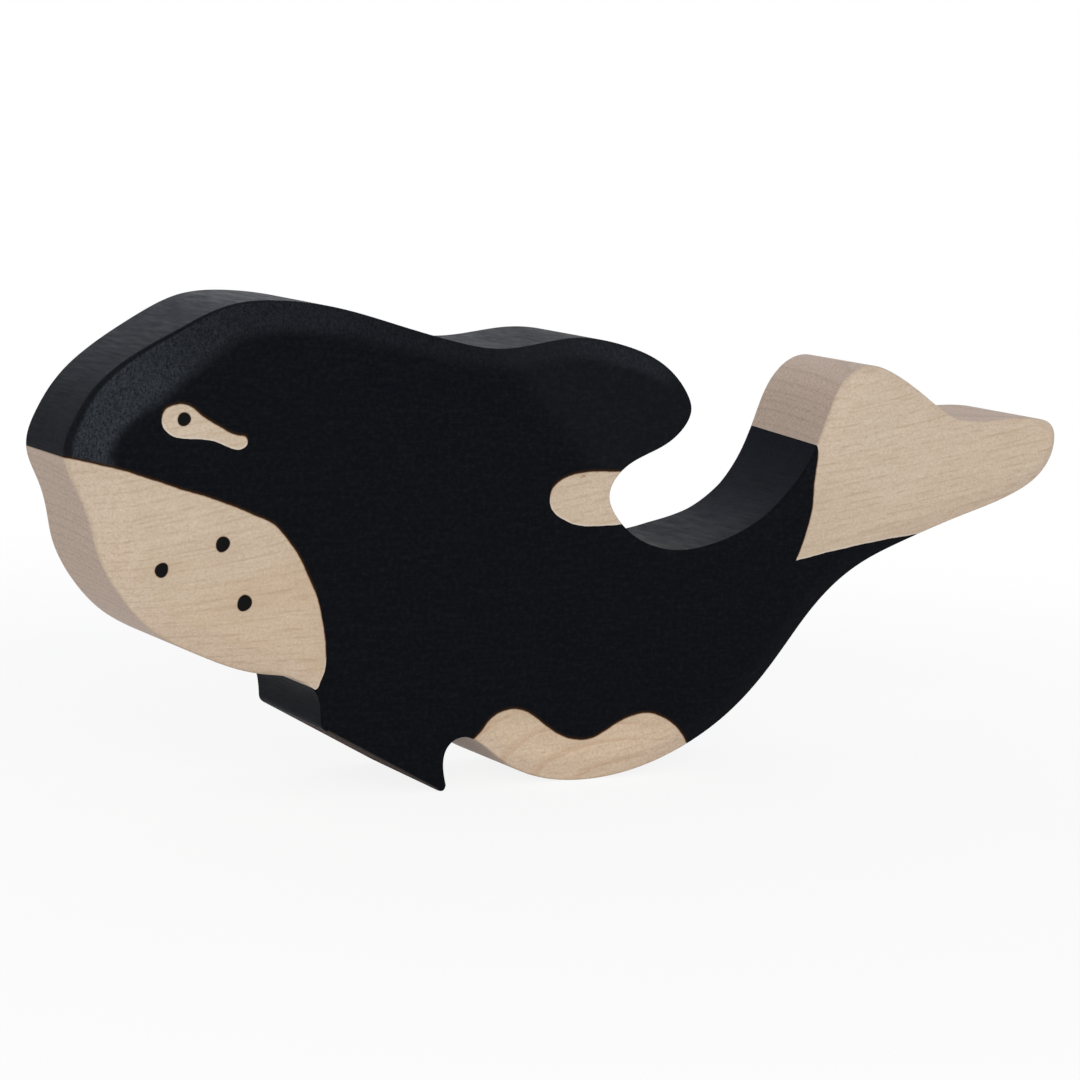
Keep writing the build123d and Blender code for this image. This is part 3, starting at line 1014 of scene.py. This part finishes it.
def makeMaple():
    look = mapleFinish
    material, nodes = newFinish("natural_maple")
    grain = jawGrain(nodes)
    late = lateWood(nodes, grain)
    dash, fibre, band, broad = [
        nodes.texture(grain, look[key]) for key in ("ringDash", "fibre", "band", "broad")
    ]
    mottle = nodes.texture(nodes.place(), look["mottle"])
    up = nodes.split(nodes.place())["Z"]
    onRim = nodes.trait("onRim")

    # the wood's own colour, with painted bounce light low down and a painted highlight on the bevels
    warmth = nodes.plus(broad, nodes.ramp(up, look["warmHeights"]))
    colour = nodes.blend(nodes.times(warmth, look["warmShare"]), look["light"], look["warm"])
    # painted bounce light from the floor, paler toward the bottom edge
    colour = nodes.blend(nodes.ramp(up, look["paintedBounceHeights"]), colour, look["paintedBounceLight"])
    inBlush = nodes.ramp(nodes.awayFrom(look["blush"]), look["blushSpan"])
    blush = nodes.times(inBlush, nodes.ramp(broad, look["blushBroad"]))
    colour = nodes.blend(blush, colour, look["blushColour"])
    # painted highlight on the bevels, with the sanded wood's own paler tone
    onBevelHighlight = nodes.ramp(nodes.trait("bevelRest"), look["bevelHighlightSpan"])
    colour = nodes.blend(nodes.times(onBevelHighlight, look["bevelShare"]), colour, look["sandedBevelHighlight"])

    # growth lines, arcs and flecks
    arcs, amongArcs = bellyArcs(nodes, dash)
    calm = nodes.minus(1.0, nodes.times(amongArcs, bellyArc["calm"]))
    colour = nodes.blend(nodes.times(late, dash, look["ringShare"], calm), colour, look["ringLine"])
    colour = nodes.blend(arcs, colour, bellyArc["colour"])
    flecks = nodes.times(nodes.ramp(fibre, look["fleckSpan"]), look["fleckShare"])
    mottling = nodes.times(mottle, look["mottleShare"])
    flecks = nodes.plus(flecks, mottling, nodes.times(band, look["bandShare"]))
    colour = nodes.blend(flecks, colour, look["fleck"])

    # end grain on the rim
    pores = nodes.plus(nodes.times(mottle, look["poreMottle"]), nodes.times(late, look["poreLate"]))
    sawn = nodes.blend(pores, look["sawn"], look["sawnPore"])
    colour = nodes.blend(nodes.times(onRim, look["sawnShare"]), colour, sawn)

    # beside the painted lines
    fringe = nodes.trait("fringe")
    fromPaint = nodes.trait("fromPaint")
    offRim = nodes.ramp(onRim, look["hazeOffRim"])
    for mask, layer, tone in (
        (nodes.ramp(fringe, look["bleedFringe"]), "bleed", "bleed"),
        (offRim, "haze", "fleck"),
        (nodes.ramp(fringe, look["paleFringe"]), "pale", "pale"),
    ):
        near = nodes.ramp(fromPaint, look[layer + "Reach"])
        colour = nodes.blend(nodes.times(near, mask, look[layer + "Share"]), colour, look[tone])

    inStreak = nodes.ramp(nodes.awayFrom(look["streak"]), look["streakSpan"])
    streak = nodes.times(inStreak, nodes.ramp(fibre, look["streakFibre"]))
    colour = nodes.blend(streak, colour, look["streakColour"])
    height = nodes.plus(fibre, nodes.times(late, look["bumpLate"]))
    nodes.dress(look, colour, nodes.ramp(fibre, look["roughness"]), height)
    return material


flankStainFinish = {
    "deep": (0.0021, 0.0025, 0.0042, 1),
    # lighter stain: worn fibres and specks, and painted sheen on the dorsal fin's facet
    "lighterTone": (0.0108, 0.0118, 0.0146, 1),
    "fibre": {"scale": (300, 2600, 2600), "turn": grainTilt, "detail": 3.0, "roughness": 0.6},
    "fibreSpan": (0.4, 0.75),
    "fibreShare": 0.25,
    "speck": {"scale": 1200, "detail": 4.0, "roughness": 0.75, "span": (0.42, 0.80)},
    "speckShare": 0.6,
    "facetSheenSpan": (0.06, 0.32),  # mm, painted sheen on the dorsal fin's facet
    "facetSheenShare": 0.26,
    # painted sheen: a lighter blue-grey on the bevels, with sanding marks in it
    "sanded": (0.0440, 0.0505, 0.0605, 1),
    "scratch": {"scale": (3800, 3800, 800), "turn": -0.54, "detail": 3.0, "roughness": 0.7},  # slanting marks
    "scratchShare": 0.4,
    "grit": {"scale": 3000, "detail": 3.0, "roughness": 0.8},
    "gritShare": 0.6,
    "markSpan": (0.33, 0.69),
    "sheenDepths": (0.15, 1.1),  # shares of the deepest bevel
    "leastSheen": 0.19,  # share of the painted sheen that the whole back gets
    "sheenSpread": (1.0, 2.4),  # a deep bevel has painted sheen over more of its width
    "sheenSpan": (0.14, 0.80),
    # painted shade along the snout's edge, where the painted sheen is left out
    "darkLineSpan": (1.3, 0.75),
    "darkLineDepths": (0.3, 0.6),
    "darkLineShare": 0.85,
    "bleed": (0.0280, 0.0130, 0.0045, 1),
    "bleedReach": (0.60, 0.05),
    "bleedFringe": (0.1, 0.9),
    "bleedShare": 0.9,
    "brownSoleEdge": (0.056, 0.045, 0.039, 1),  # along the sole
    "brownSoleEdgeReach": (0.42, 0.12),
    "roughness": (-1.2, 1.6),
    "gloss": 0.035,
    "bump": 0.15,
}


def makeFlankStain():
    look = flankStainFinish
    material, nodes = newFinish("black_stain_flank")
    fibre, speck, scratch, grit = [
        nodes.texture(nodes.place(), look[key]) for key in ("fibre", "speck", "scratch", "grit")
    ]
    # lighter where fibres and specks are worn, and painted sheen on the dorsal fin's facet
    wearAndFacetSheen = nodes.plus(
        nodes.times(nodes.ramp(fibre, look["fibreSpan"]), look["fibreShare"]),
        nodes.times(speck, look["speckShare"]),
        nodes.times(nodes.ramp(nodes.trait("facet"), look["facetSheenSpan"]), look["facetSheenShare"]),
    )
    colour = nodes.blend(wearAndFacetSheen, look["deep"], look["lighterTone"])

    # painted sheen on the bevels, with sanding marks in it, left out on the painted dark line along the
    # snout's edge
    share = nodes.trait("bevelShare")
    strength = nodes.ramp(share, look["sheenDepths"], (look["leastSheen"], 1.0))
    spread = nodes.ramp(share, (0.0, 1.0), look["sheenSpread"], "LINEAR")
    sheenRubbing = nodes.ramp(nodes.times(nodes.trait("bevelRest"), spread), look["sheenSpan"])
    marks = nodes.plus(nodes.times(scratch, look["scratchShare"]), nodes.times(grit, look["gritShare"]))
    inDarkLine = nodes.ramp(nodes.trait("soak"), look["darkLineSpan"])
    darkLine = nodes.times(inDarkLine, nodes.ramp(share, look["darkLineDepths"]), look["darkLineShare"])
    offDarkLine = nodes.minus(1.0, darkLine)
    band = nodes.times(sheenRubbing, strength, nodes.trait("rubbed"))
    sanded = nodes.times(band, nodes.ramp(marks, look["markSpan"]), offDarkLine)
    colour = nodes.blend(sanded, colour, look["sanded"])

    near = nodes.ramp(nodes.trait("fromPaint"), look["bleedReach"])
    bleed = nodes.times(near, nodes.ramp(nodes.trait("fringe"), look["bleedFringe"]), look["bleedShare"])
    colour = nodes.blend(bleed, colour, look["bleed"])
    brownSoleEdge = nodes.times(nodes.ramp(nodes.trait("fromEdge"), look["brownSoleEdgeReach"]), nodes.trait("sole"))
    colour = nodes.blend(brownSoleEdge, colour, look["brownSoleEdge"])
    nodes.dress(look, colour, nodes.ramp(fibre, look["roughness"]), fibre)
    return material


edgeStainFinish = {
    "dark": (0.0020, 0.0026, 0.0049, 1),
    "sawn": (0.0067, 0.0079, 0.0132, 1),
    "lines": {"scale": (500, 160, 2600), "turn": grainTilt, "detail": 3.0, "roughness": 0.65},  # end grain
    "lineSpan": (0.28, 0.72),
    "lineShare": 0.5,
    "mottle": {"scale": 1500, "detail": 4.0, "roughness": 0.75},
    "mottleSpan": (0.30, 0.80),
    "patchesAlong": 90,  # per metre along the edge and across the board
    "patchesAcross": 160,
    "patchSpan": (0.1, 0.8),
    # brown in patches along the sole
    "brownSole": (0.115, 0.083, 0.069, 1),
    "soleSpan": (0.1, 0.7),
    "soleRoughness": 0.45,
    "roughness": (-1.5, 2.6),
    "tint": (0.84, 0.89, 1.0, 1),
    "gloss": 0.021,
    "bump": 0.25,
}


def makeEdgeStain():
    look = edgeStainFinish
    material, nodes = newFinish("black_stain_edge")
    lines = nodes.texture(nodes.place(), look["lines"])
    mottle = nodes.texture(nodes.place(), look["mottle"])
    along = nodes.times(nodes.trait("alongEdge"), look["patchesAlong"] * mm)
    across = nodes.times(nodes.split(nodes.place())["Y"], look["patchesAcross"])
    patches = nodes.texture(nodes.joined({"X": along, "Y": across}), {"scale": 1.0})
    ruled = nodes.times(nodes.ramp(lines, look["lineSpan"]), look["lineShare"])
    tone = nodes.plus(ruled, nodes.ramp(mottle, look["mottleSpan"]))
    tone = nodes.times(tone, nodes.ramp(patches, look["patchSpan"]))
    colour = nodes.blend(tone, look["dark"], look["sawn"])
    # brown in patches along the sole, and rougher there
    lighterTone = nodes.times(nodes.trait("sole"), nodes.ramp(mottle, look["soleSpan"]))
    colour = nodes.blend(lighterTone, colour, look["brownSole"])
    roughness = nodes.plus(nodes.ramp(lines, look["roughness"]), nodes.times(lighterTone, look["soleRoughness"]))
    nodes.dress(look, colour, roughness, nodes.plus(lines, mottle))
    return material


dotFinish = {
    "paint": (0.0046, 0.0042, 0.0044, 1),
    "thin": (0.050, 0.027, 0.013, 1),
    "blots": {"scale": 2200},
    "blotSpan": (0.3, 0.7),
    "rimReach": (0.22, 0.0),
    "roughness": (-1.0, 1.6),
    "gloss": 0.05,
    "bump": 0.1,
}


def makeDotPaint():
    look = dotFinish
    material, nodes = newFinish("black_dot_paint")
    blots = nodes.texture(nodes.place(), look["blots"])
    rim = nodes.ramp(nodes.trait("fromPaint"), look["rimReach"])
    colour = nodes.blend(nodes.times(rim, nodes.ramp(blots, look["blotSpan"])), look["paint"], look["thin"])
    nodes.dress(look, colour, nodes.ramp(blots, look["roughness"]), blots)
    return material


maple = makeMaple()
flankStain = makeFlankStain()
edgeStain = makeEdgeStain()
dotPaint = makeDotPaint()
print("finishes made")

# Every piece stands for the CAD node of its own name
pieces = {"maple_body": (mapleBody, maple, "natural_maple")}
for side in ("left", "right"):
    pieces[side + "_flank_stain"] = (stainShell, flankStain, "black_stain")
    pieces[side + "_pupil"] = (stainShell, dotPaint, "black_paint")
    pieces[side + "_snout_spots"] = (stainShell, dotPaint, "black_paint")
for stretch in ("back", "tail", "keel", "flipper"):
    pieces[stretch + "_edge_stain"] = (stainShell, edgeStain, "black_stain")
for name, (make, finish, slotName) in pieces.items():
    piece = make(name, finish)
    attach(piece, "root")
    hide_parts(name)
    print(f"{name}: {len(piece.data.polygons)} faces")

# Pale floor that turns to plain white away from the figure
floorLook = {
    "radius": 6.0,
    "sides": 96,
    "colour": (0.93, 0.93, 0.93, 1),
    "fadeStart": 0.12,  # metres from the middle of the figure
    "fadeEnd": 0.32,
    "whiteNear": 0.87,  # share of plain white under the figure
}


def makeFloor():
    turn = [2 * math.pi * k / floorLook["sides"] for k in range(floorLook["sides"])]
    rim = [(floorLook["radius"] * math.cos(t), floorLook["radius"] * math.sin(t), 0) for t in turn]
    mesh = bpy.data.meshes.new("floor")
    mesh.from_pydata(rim, [], [tuple(range(len(rim)))])
    material, nodes = newFinish("pale_floor")
    shader = nodes.tree.nodes["Principled BSDF"]
    plain = {"Roughness": 1.0, "Specular IOR Level": 0.0, "Base Color": floorLook["colour"]}
    for socket, value in plain.items():
        nodes.put(value, shader.inputs[socket])
    reach = (floorLook["fadeStart"], floorLook["fadeEnd"])
    fade = nodes.ramp(nodes.length(nodes.place()), reach, (floorLook["whiteNear"], 1.0))
    white = nodes.add("ShaderNodeEmission", {"Color": (1, 1, 1, 1), "Strength": 1.0})
    share = nodes.times(fade, nodes.seenDirectly())
    both = nodes.add("ShaderNodeMixShader", {0: share, 1: shader.outputs[0], 2: white.outputs[0]})
    nodes.put(both.outputs[0], nodes.tree.nodes["Material Output"].inputs["Surface"])
    mesh.materials.append(material)
    floor = bpy.data.objects.new("floor", mesh)
    bpy.context.collection.objects.link(floor)


roomLight = {"ambient": 0.52}  # light from all round, where white as it is seen is 1


def makeRoom():
    world = bpy.data.worlds.new("white_room")
    bpy.context.scene.world = world
    world.use_nodes = True
    nodes = Nodes(world.node_tree)
    background = nodes.tree.nodes["Background"]
    background.inputs["Color"].default_value = (1, 1, 1, 1)
    strength = nodes.ramp(nodes.seenDirectly(), (0.0, 1.0), (roomLight["ambient"], 1.0), "LINEAR")
    nodes.put(strength, background.inputs["Strength"])


# Places and sizes in metres, power in watts
softboxes = {
    "key_softbox": {"from": (-0.525, -1.575, 0.655), "size": 1.2, "power": 16.5, "colour": (1, 1, 1)},
    "back_softbox": {"from": (0.10, 0.95, 0.55), "size": 0.8, "power": 1.50, "colour": (0.76, 0.83, 1.0)},
}


def makeSoftboxes():
    middle = Vector((0, 0, 0.5 * boardHeight * mm))
    for name, box in softboxes.items():
        light = bpy.data.lights.new(name, "AREA")
        light.size = box["size"]
        light.energy = box["power"]
        light.color = box["colour"]
        lamp = bpy.data.objects.new(name, light)
        lamp.location = box["from"]
        lamp.rotation_euler = (middle - lamp.location).to_track_quat("-Z", "Y").to_euler()
        bpy.context.collection.objects.link(lamp)


# Viewpoint of the photograph, found from the board's two edges
viewpoint = {
    "target": (-4.79, 0.0, 39.84),  # mm
    "distance": 598.5,  # mm
    "azimuth": -29.486,  # degrees, as the next two
    "elevation": 7.867,
    "roll": 2.58,
    "lens": 116.67,  # mm
    "clipStart": 0.01,  # metres
}


def makeCamera():
    turn, lift, roll = [math.radians(viewpoint[key]) for key in ("azimuth", "elevation", "roll")]
    back = Vector((math.cos(lift) * math.sin(turn), -math.cos(lift) * math.cos(turn), math.sin(lift)))
    level = Vector((math.cos(turn), math.sin(turn), 0))
    upright = back.cross(level)
    right = level * math.cos(roll) + upright * math.sin(roll)
    up = upright * math.cos(roll) - level * math.sin(roll)
    place = (Vector(viewpoint["target"]) + back * viewpoint["distance"]) * mm
    data = bpy.data.cameras.new("photo_camera")
    data.lens = viewpoint["lens"]
    data.clip_start = viewpoint["clipStart"]
    camera = bpy.data.objects.new("photo_camera", data)
    camera.matrix_world = Matrix.Translation(place) @ Matrix((right, up, back)).transposed().to_4x4()
    bpy.context.collection.objects.link(camera)
    bpy.context.scene.camera = camera


makeFloor()
makeRoom()
makeSoftboxes()
makeCamera()
bpy.context.scene.view_settings.view_transform = "Standard"
print("stage, light and camera set")
